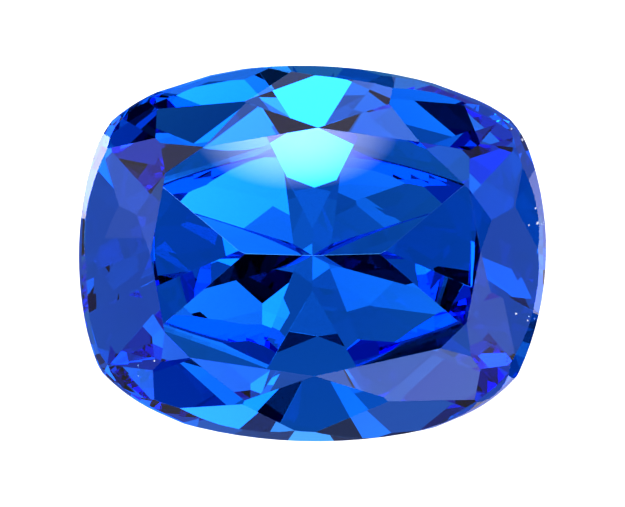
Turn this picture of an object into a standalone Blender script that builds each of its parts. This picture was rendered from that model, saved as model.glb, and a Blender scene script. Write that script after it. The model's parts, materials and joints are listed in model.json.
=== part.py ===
"""A cushion-cut tanzanite, cut facet by facet from a girdle blank and laid on one facet of its pavilion.

The stone is cut face up, in millimetres, with its table in the plane z = 0. Its last step turns it on to
the resting facet and scales it to metres, with +Z up and the underside at z = 0.
"""

import math

import bmesh
import bpy
import numpy as np
from mathutils import Matrix, Vector

# Millimetres to metres
MM = 0.001

# Outline of the girdle, face up: for each side its reach from the centre, where along the side the
# reach peaks, and the radius of its bow; then the radius of the corner that follows it
OUTLINE = {
    "east": {"reach": 6.26, "peak": 0.12, "bow": 7.85, "corner": 2.38},
    "north": {"reach": 5.03, "peak": -0.32, "bow": 13.70, "corner": 2.90},
    "west": {"reach": 6.25, "peak": -0.08, "bow": 9.30, "corner": 2.74},
    "south": {"reach": 5.03, "peak": 0.11, "bow": 13.65, "corner": 2.35},
}
SIDE_CHORDS = 15
CORNER_CHORDS = 9

# Heights: table to the top of the rim, the rim's bevel, the upright girdle and the blank below it
CROWN_HEIGHT = 1.20
RIM_HEIGHT = 0.30
RIM_WIDTH = 0.18
GIRDLE_HEIGHT = 0.12
BLANK_DEPTH = 7.0

# Crown, clockwise from the top. Each row starts at a corner of the table: the corner as (x, y), its main
# facet as (angle from the table, direction it faces) in degrees, and that facet's outer tip. Then comes what
# lies between it and the next corner: tip of the star, top of the girdle pair, and the pair's two angles
CROWN = {
    "N": {"table": (0.15, 3.34), "main": (36.7, 91.7), "tip": (0.15, 4.98),
        "star": (1.95, 4.01), "pair": (2.08, 4.13), "angles": (47.0, 47.0)},
    "NNE": {"table": (2.85, 2.96), "main": (35.4, 66.5), "tip": (4.05, 3.97),
        "star": (4.23, 2.69), "pair": (4.45, 2.93), "angles": (41.3, 41.0)},
    "ENE": {"table": (4.16, 1.71), "main": (31.5, 20.3), "tip": (5.72, 2.8),
        "star": (4.76, 0.97), "pair": (5.41, 1.18), "angles": (44.7, 44.6)},
    "E": {"table": (4.47, 0.04), "main": (35.8, -3.7), "tip": (6.06, 0.07),
        "star": (4.74, -1.0), "pair": (5.11, -1.13), "angles": (38.9, 39.0)},
    "ESE": {"table": (4.1, -1.84), "main": (33.7, -17.3), "tip": (5.48, -3.01),
        "star": (4.21, -2.75), "pair": (4.47, -3.09), "angles": (42.7, 42.7)},
    "SSE": {"table": (3.4, -2.52), "main": (29.8, -73.1), "tip": (4.37, -3.97),
        "star": (1.95, -3.83), "pair": (2.03, -3.94), "angles": (45.5, 45.0)},
    "S": {"table": (0.06, -3.26), "main": (35.4, -87.2), "tip": (-0.05, -4.99),
        "star": (-1.83, -3.91), "pair": (-1.83, -4.02), "angles": (47.0, 47.0)},
    "SSW": {"table": (-3.26, -2.77), "main": (31.6, -107.6), "tip": (-4.26, -4.21),
        "star": (-4.05, -2.85), "pair": (-4.23, -3.12), "angles": (40.9, 41.3)},
    "WSW": {"table": (-3.92, -2.1), "main": (32.2, -163.0), "tip": (-5.48, -2.99),
        "star": (-4.66, -1.0), "pair": (-5.21, -1.0), "angles": (37.5, 37.4)},
    "W": {"table": (-4.3, -0.04), "main": (33.3, 179.3), "tip": (-5.98, -0.01),
        "star": (-4.68, 1.18), "pair": (-5.16, 1.1), "angles": (39.0, 39.5)},
    "WNW": {"table": (-3.9, 2.14), "main": (31.0, 163.3), "tip": (-5.72, 2.75),
        "star": (-4.05, 2.93), "pair": (-4.18, 3.07), "angles": (40.3, 40.8)},
    "NNW": {"table": (-2.88, 2.83), "main": (31.2, 103.1), "tip": (-4.13, 4.29),
        "star": (-1.66, 4.01), "pair": (-1.74, 4.07), "angles": (44.0, 47.5)},
}

# Pavilion, by tier: the angle from the table's plane, the direction that the facet faces in degrees from +X,
# and its reach from the centre at the lower edge of the girdle. A tier whose facet doesn't face straight
# north or south is cut twice, as given and mirrored to the other end
PAVILION = {
    "rest": {"angle": 43.0, "facing": 270.0, "reach": 5.03},
    "north main": {"angle": 41.5, "facing": 90.0, "reach": 5.10},
    "north side main": {"angle": 38.5, "facing": 68.0, "reach": 5.55},
    "south side main": {"angle": 39.0, "facing": 294.5, "reach": 5.55},
    "end main": {"angle": 41.5, "facing": 3.0, "reach": 6.25},
    "south end main": {"angle": 38.5, "facing": 341.5, "reach": 6.60},
    "north break": {"angle": 49.5, "facing": 78.0, "reach": 5.15},
    "north corner break": {"angle": 52.0, "facing": 65.0, "reach": 5.40},
    "north end break": {"angle": 50.5, "facing": 19.5, "reach": 6.40},
    "end break": {"angle": 59.0, "facing": 13.5, "reach": 6.30},
    "end step": {"angle": 45.5, "facing": 2.5, "reach": 6.20},
    "south end break": {"angle": 57.0, "facing": 342.5, "reach": 6.30},
    "south corner break": {"angle": 56.0, "facing": 302.0, "reach": 5.60},
    "south break": {"angle": 55.0, "facing": 281.5, "reach": 5.20},
}


def side_arcs():
    """The eight arcs of the outline, in order and anticlockwise: centre, radius, first and last angle."""
    outward = [np.array(way, float) for way in ((1, 0), (0, 1), (-1, 0), (0, -1))]
    sides = []
    for out, size in zip(outward, OUTLINE.values()):
        along = np.abs(out[::-1])
        centre = out * (size["reach"] - size["bow"]) + along * size["peak"]
        sides.append((centre, size["bow"]))
    corners = []
    for index, size in enumerate(OUTLINE.values()):
        following = (index + 1) % 4
        towards = outward[index] + outward[following]
        centre = corner_centre(sides[index], sides[following], size["corner"], towards)
        corners.append((centre, size["corner"]))
    arcs = []
    for index in range(4):
        centre, bow = sides[index]
        before, corner = corners[index - 1][0], corners[index][0]
        after = sides[(index + 1) % 4][0]
        start = math.atan2(*(before - centre)[::-1])
        stop = math.atan2(*(corner - centre)[::-1])
        turn = math.atan2(*(corner - after)[::-1])
        arcs.append((centre, bow, start, stop, SIDE_CHORDS))
        arcs.append((corner, corners[index][1], stop, turn, CORNER_CHORDS))
    return arcs


def corner_centre(first, second, radius, towards):
    """Where a corner's centre lies so that its arc touches both neighbouring sides from the inside."""
    gap = second[0] - first[0]
    distance = np.linalg.norm(gap)
    near, far = first[1] - radius, second[1] - radius
    along = (distance**2 + near**2 - far**2) / (2 * distance)
    across = math.sqrt(near**2 - along**2)
    unit = gap / distance
    square = np.array((-unit[1], unit[0]))
    choices = [first[0] + unit * along + square * across * sign for sign in (1, -1)]
    return max(choices, key=towards.dot)


def outline(inset):
    """Points of the girdle's outline moved in by the inset, anticlockwise."""
    points = []
    for centre, radius, start, stop, chords in side_arcs():
        sweep = (stop - start) % (2 * math.pi)
        for step in range(chords):
            angle = start + sweep * step / chords
            points.append(centre + (radius - inset) * np.array((math.cos(angle), math.sin(angle))))
    return points


def through(points, inside):
    """The plane through three points as (unit normal, distance), facing away from the inside point."""
    first, second, third = (np.array(point, float) for point in points)
    normal = np.cross(second - first, third - first)
    normal /= np.linalg.norm(normal)
    distance = normal @ first
    if normal @ inside > distance:
        normal, distance = -normal, -distance
    return normal, distance


def facing_plane(angle, facing, down, point):
    """The plane through a point at an angle from the table's plane, facing a direction in the plan."""
    tilt, turn = math.radians(angle), math.radians(facing)
    rise = -math.cos(tilt) if down else math.cos(tilt)
    normal = np.array((math.sin(tilt) * math.cos(turn), math.sin(tilt) * math.sin(turn), rise))
    return normal, normal @ np.array(point)


def height_on(plane, point):
    """The point of the plan lifted on to the plane."""
    normal, distance = plane
    return np.array((*point, (distance - normal[0] * point[0] - normal[1] * point[1]) / normal[2]))


def hinged_plane(first, second, angle):
    """The plane through two points at an angle from the table's plane, on their outer side."""
    edge = second - first
    run = np.linalg.norm(edge[:2])
    along = edge[:2] / run
    across = np.array((-along[1], along[0]))
    if across @ (first + second)[:2] < 0:
        across = -across
    drop = -edge[2] / run
    fall = drop * along + math.sqrt(math.tan(math.radians(angle)) ** 2 - drop**2) * across
    normal = np.array((*fall, 1.0)) / math.sqrt(fall @ fall + 1)
    return normal, normal @ first


def crown_planes():
    """The planes of the crown: table, mains, stars and the pairs of facets above the girdle."""
    rows = list(CROWN.values())
    names = list(CROWN)
    inside = np.array((0.0, 0.0, -CROWN_HEIGHT))
    mains = [facing_plane(*row["main"], False, (*row["table"], 0.0)) for row in rows]
    planes = [("table", (np.array((0.0, 0.0, 1.0)), 0.0))]
    planes += [(f"main {name}", main) for name, main in zip(names, mains)]
    for index, row in enumerate(rows):
        following = (index + 1) % len(rows)
        name, main, next_main = names[index], mains[index], mains[following]
        corners = (*row["table"], 0.0), (*rows[following]["table"], 0.0)
        star = (height_on(main, row["star"]) + height_on(next_main, row["star"])) / 2
        pair = (height_on(main, row["pair"]) + height_on(next_main, row["pair"])) / 2
        tip, next_tip = height_on(main, row["tip"]), height_on(next_main, rows[following]["tip"])
        angle, next_angle = row["angles"]
        planes.append((f"star {name}", through((*corners, star), inside)))
        planes.append((f"first girdle facet {name}", hinged_plane(pair, tip, angle)))
        planes.append((f"second girdle facet {name}", hinged_plane(pair, next_tip, next_angle)))
    return planes


def pavilion_planes():
    """The planes of the pavilion, each named for its tier and the direction it faces."""
    level = -(CROWN_HEIGHT + RIM_HEIGHT + GIRDLE_HEIGHT)
    planes = []
    for tier, facet in PAVILION.items():
        mirrored = (180.0 - facet["facing"]) % 360.0
        for facing in sorted({facet["facing"], mirrored}):
            turn = math.radians(facing)
            start = (facet["reach"] * math.cos(turn), facet["reach"] * math.sin(turn), level)
            planes.append((f"{tier} {facing:g}", facing_plane(facet["angle"], facing, True, start)))
    return planes


def blank(mesh):
    """Fills the mesh with the uncut blank: the rim's bevel above, the upright girdle and a long foot."""
    rim_run = RIM_WIDTH * (CROWN_HEIGHT + RIM_HEIGHT) / RIM_HEIGHT
    girdle_top = -(CROWN_HEIGHT + RIM_HEIGHT)
    levels = [(0.0, -BLANK_DEPTH), (0.0, girdle_top), (rim_run, 0.0)]
    rings = []
    for inset, height in levels:
        rings.append([mesh.verts.new((x, y, height)) for x, y in outline(inset)])
    mesh.faces.new(list(reversed(rings[0])))
    mesh.faces.new(rings[-1])
    for lower, upper in zip(rings, rings[1:]):
        for index in range(len(lower)):
            following = (index + 1) % len(lower)
            mesh.faces.new((lower[index], lower[following], upper[following], upper[index]))


def cut(mesh, plane):
    """Grinds one flat facet: removes what lies outside the plane and closes the solid along it."""
    normal, distance = plane
    parts = mesh.verts[:] + mesh.edges[:] + mesh.faces[:]
    result = bmesh.ops.bisect_plane(
        mesh,
        geom=parts,
        dist=1e-6,
        plane_co=Vector(normal * distance),
        plane_no=Vector(normal),
        clear_outer=True,
    )
    edges = [item for item in result["geom_cut"] if isinstance(item, bmesh.types.BMEdge)]
    rim = [edge for edge in edges if len(edge.link_faces) == 1]
    if rim:
        bmesh.ops.contextual_create(mesh, geom=rim)


def material():
    """A deep violet-blue, see-through stone."""
    stone = bpy.data.materials.new("tanzanite")
    stone.use_nodes = True
    shader = stone.node_tree.nodes["Principled BSDF"]
    shader.inputs["Base Color"].default_value = (0.02, 0.09, 0.75, 1.0)
    shader.inputs["Roughness"].default_value = 0.02
    shader.inputs["IOR"].default_value = 1.69
    shader.inputs["Transmission Weight"].default_value = 1.0
    return stone


def build():
    """Cuts the stone, lays it on its resting facet and adds it to the scene."""
    mesh = bmesh.new()
    blank(mesh)
    for name, plane in crown_planes() + pavilion_planes():
        cut(mesh, plane)
    bmesh.ops.recalc_face_normals(mesh, faces=mesh.faces[:])

    lean = math.radians(PAVILION["rest"]["angle"])
    mesh.transform(Matrix.Rotation(lean, 4, "X"))
    lows = [min(vert.co[axis] for vert in mesh.verts) for axis in range(3)]
    highs = [max(vert.co[axis] for vert in mesh.verts) for axis in range(3)]
    middle = [(low + high) / 2 for low, high in zip(lows, highs)]
    mesh.transform(Matrix.Translation((-middle[0], -middle[1], -lows[2])))
    mesh.transform(Matrix.Scale(MM, 4))

    data = bpy.data.meshes.new("stone")
    mesh.to_mesh(data)
    mesh.free()
    data.materials.append(material())
    stone = bpy.data.objects.new("stone", data)
    parts = bpy.data.collections.new("cushion_cut_tanzanite")
    bpy.context.scene.collection.children.link(parts)
    parts.objects.link(stone)
    return stone


for thing in list(bpy.data.objects):
    bpy.data.objects.remove(thing)
build()
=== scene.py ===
"""The looks of the cushion-cut tanzanite: its clear blue body, a pale floor, soft light and the camera.

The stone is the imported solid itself, because its facets are what shows. Lengths are in millimetres until
they reach Blender, and every direction is an azimuth from +X towards +Y and an elevation above the floor.
"""

import json
import math

import bpy
from mathutils import Matrix, Vector


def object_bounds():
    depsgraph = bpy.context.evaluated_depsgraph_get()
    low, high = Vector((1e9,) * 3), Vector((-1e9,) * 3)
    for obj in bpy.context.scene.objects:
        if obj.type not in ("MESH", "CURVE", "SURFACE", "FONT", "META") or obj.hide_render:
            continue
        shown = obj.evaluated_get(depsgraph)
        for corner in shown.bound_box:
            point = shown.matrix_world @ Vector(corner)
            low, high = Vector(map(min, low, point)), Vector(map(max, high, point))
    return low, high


MM = 0.001

# The two kinds of maths node, on plain numbers and on vectors
PLAIN = "ShaderNodeMath"
VECTOR = "ShaderNodeVectorMath"

# The photograph: its width, how much of it the stone's length takes, and the lens
PHOTO_WIDTH = 625
STONE_PIXELS = 471
LENS = 400.0
SENSOR = 36.0
CLIP_REACH = 100

# The stone's body: refractive index of tanzanite, and how much light each millimetre takes off, by colour
INDEX = 1.695
ABSORPTION = (0.36, 0.112, 0.010)
ABSORPTION_DENSITY = 0.62

# Finish: the ground girdle, by its top and bottom below the table, the round of the facet edges, and the
# specks of chipped edge in the photograph, by pixel and radius in pixels
GIRDLE_BAND = (1.50, 1.62)
GIRDLE_ROUGHNESS = 0.25
EDGE_ROUND = 0.01
PHOTO_MIDDLE = (312.5, 253.5)
CHIPS = {
    "east rim, high": (537, 208, 1.1),
    "east rim, low": (539, 223, 1.5),
    "beside it": (530, 225, 0.9),
    "east end": (517, 314, 1.2),
    "east end, outer": (529, 321, 1.0),
    "north east": (513, 128, 1.0),
    "north east, outer": (524, 139, 1.3),
    "south west": (154, 361, 0.9),
    "north west": (104, 141, 0.9),
}
FAR_FROM_CHIPS = 10.0
CHIP_WHITENESS = 0.6
CHIP_RAGGEDNESS = 0.9
CHIP_GRAIN = 30000.0

# The camera sees a white floor a hair under the stone. The stone sees through it to grey ground far below,
# so that no facet mirrors the white floor
FLOOR_SIZE = 2000.0
FLOOR_GAP = 0.02
FLOOR_GLOW = 0.88
FLOOR_COLOUR = 0.3
GROUND_SIZE = 30000.0
GROUND_DEPTH = 600.0
GROUND_GLOW = 0.36

# Soft boxes round the stone: azimuth, elevation, width and height in degrees as the stone sees them, and
# brightness. A later one stands nearer and hides an earlier one. Towards its rim the light of a box falls off
BOX_DISTANCE = 500.0
BOX_STEP = 10.0
BOX_FALLOFF = 0.5
LIGHT_COLOUR = (0.95, 0.90, 1.10)
SOFT_BOXES = {
    "small lamp, south": (270, 55, 5, 5, 4.0),
    "large cloth, north west": (140, 55, 110, 70, 1.0),
    "window, south east": (310, 40, 25, 30, 2.0),
    "window, low west": (160, -5, 45, 25, 5.0),
    "dark card, east": (340, 35, 25, 35, 0.0),
    "tall panel, south east": (325, 15, 35, 65, 1.0),
    "black card, low east": (0, -15, 25, 60, 0.0),
    "dark screen, north west": (125, 50, 95, 95, 0.0),
    "panel, north": (85, 40, 25, 40, 1.0),
    "sheet below, north east": (50, -55, 110, 85, 2.0),
    "black strip below, south": (280, -20, 75, 15, 0.0),
    "long strip, south": (265, 25, 105, 20, 0.5),
    "strip overhead": (105, 80, 100, 20, 1.0),
    "panel below, south": (290, -10, 30, 25, 1.5),
}
ROOM_BRIGHTNESS = 0.36

# A round black shade just behind the camera, by its radius in degrees as the stone sees it
SHADE_RADIUS = 4.1
SHADE_SIDES = 64

# A soft window just behind the camera, by the left, top, right and bottom pixel where the table mirrors it
WINDOW = (190, 65, 400, 190)
WINDOW_BRIGHTNESS = 5.5
WINDOW_FALLOFF = 2.0

# Where the shade and the window stand, as shares of the camera's distance
SHADE_PLACE = 1.02
WINDOW_PLACE = 1.01

# The picture's contrast and brightness, the bounces of light inside the stone, and the brightest bounce
GAMMA = 0.8
EXPOSURE = 0.5
BOUNCES = 20
BRIGHTEST_BOUNCE = 8.0


def direction(azimuth, elevation):
    """The unit vector towards an azimuth and an elevation given in degrees."""
    turn, rise = math.radians(azimuth), math.radians(elevation)
    return Vector((math.cos(turn) * math.cos(rise), math.sin(turn) * math.cos(rise), math.sin(rise)))


def joined(tree, kind, operation, *inputs):
    """A maths node of the tree whose inputs are set or linked, by its result."""
    node = tree.nodes.new(kind)
    node.operation = operation
    for socket, value in zip(node.inputs, inputs):
        if isinstance(value, bpy.types.NodeSocket):
            tree.links.new(value, socket)
        else:
            socket.default_value = value
    return node.outputs["Vector"] if operation == "SUBTRACT" and kind == VECTOR else node.outputs["Value"]


def table_position(tree, centre, axis):
    """A surface point's place in the plan of the table, as a vector, and its height above the table."""
    across = Vector((1.0, 0.0, 0.0))
    place = tree.nodes.new("ShaderNodeTexCoord").outputs["Object"]
    offset = joined(tree, VECTOR, "SUBTRACT", place, centre)
    height = joined(tree, VECTOR, "DOT_PRODUCT", offset, axis)
    plan = tree.nodes.new("ShaderNodeCombineXYZ")
    tree.links.new(joined(tree, VECTOR, "DOT_PRODUCT", offset, across), plan.inputs["X"])
    tree.links.new(joined(tree, VECTOR, "DOT_PRODUCT", offset, axis.cross(across)), plan.inputs["Y"])
    return plan.outputs["Vector"], height


def chip_mask(tree, plan, pixel):
    """One on the ragged specks where the edge has chipped, and nought elsewhere."""
    nearest = FAR_FROM_CHIPS
    for x, y, radius in CHIPS.values():
        spot = Vector((x - PHOTO_MIDDLE[0], PHOTO_MIDDLE[1] - y, 0.0)) * pixel
        away = joined(tree, VECTOR, "DISTANCE", plan, spot)
        share = joined(tree, PLAIN, "DIVIDE", away, radius * pixel)
        nearest = joined(tree, PLAIN, "MINIMUM", share, nearest)
    grain = tree.nodes.new("ShaderNodeTexNoise")
    grain.inputs["Scale"].default_value = CHIP_GRAIN
    tree.links.new(plan, grain.inputs["Vector"])
    ragged = joined(tree, PLAIN, "MULTIPLY_ADD", grain.outputs["Fac"], CHIP_RAGGEDNESS, nearest)
    return joined(tree, PLAIN, "LESS_THAN", ragged, 1.0 + CHIP_RAGGEDNESS / 2)


def tanzanite(centre, axis, pixel):
    """Clear stone that takes off red first and green next, so it turns from pale blue to navy with depth."""
    material = bpy.data.materials.new("tanzanite")
    material.use_nodes = True
    tree = material.node_tree
    surface = tree.nodes["Principled BSDF"]
    surface.inputs["Base Color"].default_value = (1.0, 1.0, 1.0, 1.0)
    surface.inputs["IOR"].default_value = INDEX
    plan, height = table_position(tree, centre, axis)
    chips = chip_mask(tree, plan, pixel)
    top, bottom = GIRDLE_BAND
    girdle = joined(tree, PLAIN, "COMPARE", height, -MM * (top + bottom) / 2, MM * (bottom - top) / 2)
    rough = joined(tree, PLAIN, "MAXIMUM", joined(tree, PLAIN, "MULTIPLY", girdle, GIRDLE_ROUGHNESS), chips)
    tree.links.new(rough, surface.inputs["Roughness"])
    clear = joined(tree, PLAIN, "MULTIPLY_ADD", chips, -CHIP_WHITENESS, 1.0)
    tree.links.new(clear, surface.inputs["Transmission Weight"])
    edge = tree.nodes.new("ShaderNodeBevel")
    edge.inputs["Radius"].default_value = EDGE_ROUND * MM
    tree.links.new(edge.outputs["Normal"], surface.inputs["Normal"])
    depth = tree.nodes.new("ShaderNodeVolumeAbsorption")
    kept = [1.0 - share / ABSORPTION_DENSITY for share in ABSORPTION]
    depth.inputs["Color"].default_value = (*kept, 1.0)
    depth.inputs["Density"].default_value = ABSORPTION_DENSITY / MM
    tree.links.new(depth.outputs["Volume"], tree.nodes["Material Output"].inputs["Volume"])
    return material


def glowing(name, brightness, light=(1.0, 1.0, 1.0), falloff=0.0, colour=0.0):
    """A matt sheet's material that glows evenly or, with a falloff, most in its middle."""
    material = bpy.data.materials.new(name)
    material.use_nodes = True
    tree = material.node_tree
    surface = tree.nodes["Principled BSDF"]
    surface.inputs["Base Color"].default_value = (colour, colour, colour, 1.0)
    surface.inputs["Roughness"].default_value = 1.0
    surface.inputs["Specular IOR Level"].default_value = 0.0
    surface.inputs["Emission Color"].default_value = (*light, 1.0)
    surface.inputs["Emission Strength"].default_value = brightness
    if falloff:
        # A sheet is one unit wide, so the squared distance from its middle is a half at its corners
        place = tree.nodes.new("ShaderNodeTexCoord").outputs["Object"]
        square = joined(tree, VECTOR, "DOT_PRODUCT", place, place)
        glow = joined(tree, PLAIN, "MULTIPLY_ADD", square, -2.0 * falloff * brightness, brightness)
        tree.links.new(joined(tree, PLAIN, "MAXIMUM", glow, 0.0), surface.inputs["Emission Strength"])
    return material


def sheet(name, centre, towards, sides, material):
    """A flat sheet that faces along a direction: the floor, the ground, a soft box or the window."""
    bpy.ops.mesh.primitive_plane_add(size=1.0, location=centre)
    made = bpy.context.object
    made.name = name
    made.scale = (*sides, 1.0)
    across = Vector((0.0, 0.0, 1.0)).cross(towards)
    across = across.normalized() if across.length > 1e-6 else Vector((1.0, 0.0, 0.0))
    made.rotation_euler = Matrix((across, towards.cross(across), towards)).transposed().to_euler()
    made.data.materials.append(material)
    return made


def soft_box(name, target, distance, azimuth, elevation, width, height, brightness):
    """A glowing sheet that faces the target and looks as wide and high as the angles say."""
    towards = direction(azimuth, elevation)
    sides = [2 * distance * math.tan(math.radians(angle / 2)) for angle in (width, height)]
    cloth = glowing(name, brightness, LIGHT_COLOUR, BOX_FALLOFF)
    box = sheet(name, target + towards * distance, towards, sides, cloth)
    box.visible_camera = False


def lens_shade(target, axis, distance):
    """The dark round behind the camera, which the table mirrors."""
    radius = distance * math.tan(math.radians(SHADE_RADIUS))
    bpy.ops.mesh.primitive_circle_add(
        vertices=SHADE_SIDES, fill_type="NGON", radius=radius, location=target + axis * distance
    )
    shade = bpy.context.object
    shade.name = "lens shade"
    shade.rotation_euler = axis.to_track_quat("Z", "Y").to_euler()
    shade.data.materials.append(glowing("black card", 0.0))
    shade.visible_camera = False


def window(target, axis, distance, pixel):
    """The soft window behind the camera, about twice as large as the patch where the table mirrors it."""
    left, top, right, bottom = WINDOW
    spread = (1.0 + WINDOW_PLACE) * pixel
    across = Vector((1.0, 0.0, 0.0))
    aside = across * ((left + right) / 2 - PHOTO_MIDDLE[0])
    aside += axis.cross(across) * (PHOTO_MIDDLE[1] - (top + bottom) / 2)
    sides = [(right - left) * spread, (bottom - top) * spread]
    glass = glowing("window", WINDOW_BRIGHTNESS, LIGHT_COLOUR, WINDOW_FALLOFF)
    pane = sheet("window", target + axis * distance * WINDOW_PLACE + aside * spread, axis, sides, glass)
    pane.visible_camera = False


def ground():
    """The white floor, which the camera sees and the facets don't, and the grey ground far below it."""
    up = Vector((0.0, 0.0, 1.0))
    white = glowing("white card", FLOOR_GLOW, colour=FLOOR_COLOUR)
    floor = sheet("floor", -FLOOR_GAP * MM * up, up, [FLOOR_SIZE * MM] * 2, white)
    floor.visible_glossy = False
    floor.visible_transmission = False
    floor.visible_shadow = False
    grey = glowing("grey ground", GROUND_GLOW, LIGHT_COLOUR)
    base = sheet("ground", -GROUND_DEPTH * MM * up, up, [GROUND_SIZE * MM] * 2, grey)
    base.visible_camera = False


def room():
    """An even grey room round the stone."""
    world = bpy.data.worlds.new("room")
    world.use_nodes = True
    background = world.node_tree.nodes["Background"]
    background.inputs["Color"].default_value = (*LIGHT_COLOUR, 1.0)
    background.inputs["Strength"].default_value = ROOM_BRIGHTNESS
    bpy.context.scene.world = world


def camera(target, axis, distance):
    """Looks straight down on the table, with the stone as large in the frame as in the photograph."""
    data = bpy.data.cameras.new("camera")
    data.lens = LENS
    data.sensor_width = SENSOR
    data.clip_start = distance / CLIP_REACH
    data.clip_end = distance * CLIP_REACH
    holder = bpy.data.objects.new("camera", data)
    holder.location = target + axis * distance
    holder.rotation_euler = axis.to_track_quat("Z", "Y").to_euler()
    bpy.context.scene.collection.objects.link(holder)
    bpy.context.scene.camera = holder


def render_settings():
    """Contrast, brightness, and enough bounces for light that crosses the stone many times."""
    scene = bpy.context.scene
    scene.view_settings.view_transform = "Standard"
    scene.view_settings.gamma = GAMMA
    scene.view_settings.exposure = EXPOSURE
    scene.cycles.max_bounces = BOUNCES
    scene.cycles.transmission_bounces = BOUNCES
    scene.cycles.glossy_bounces = BOUNCES
    scene.cycles.sample_clamp_indirect = BRIGHTEST_BOUNCE
    scene.cycles.use_denoising = True
    scene.cycles.denoising_input_passes = "RGB"


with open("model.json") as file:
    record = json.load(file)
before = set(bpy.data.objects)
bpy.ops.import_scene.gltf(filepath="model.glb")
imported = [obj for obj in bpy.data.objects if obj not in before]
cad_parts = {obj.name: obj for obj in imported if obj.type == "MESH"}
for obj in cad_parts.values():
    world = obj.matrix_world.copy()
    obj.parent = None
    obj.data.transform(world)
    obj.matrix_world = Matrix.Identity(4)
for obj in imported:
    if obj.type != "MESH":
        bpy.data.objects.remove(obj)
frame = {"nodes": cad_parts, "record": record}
cad_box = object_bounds()
stone = frame["nodes"]["stone"]
table = next(mount for mount in frame["record"]["mounts"] if mount["name"] == "table")
middle, axis = Vector(table["pos_m"]), Vector(table["axis"]).normalized()

length = cad_box[1].x - cad_box[0].x
stone.data.materials.clear()
stone.data.materials.append(tanzanite(middle, axis, length / STONE_PIXELS))

ground()
for index, (name, box) in enumerate(SOFT_BOXES.items()):
    soft_box(name, middle, (BOX_DISTANCE - index * BOX_STEP) * MM, *box)
room()
far = length * PHOTO_WIDTH / STONE_PIXELS * LENS / SENSOR
camera(middle, axis, far)
lens_shade(middle, axis, far * SHADE_PLACE)
window(middle, axis, far, length / STONE_PIXELS)
render_settings()
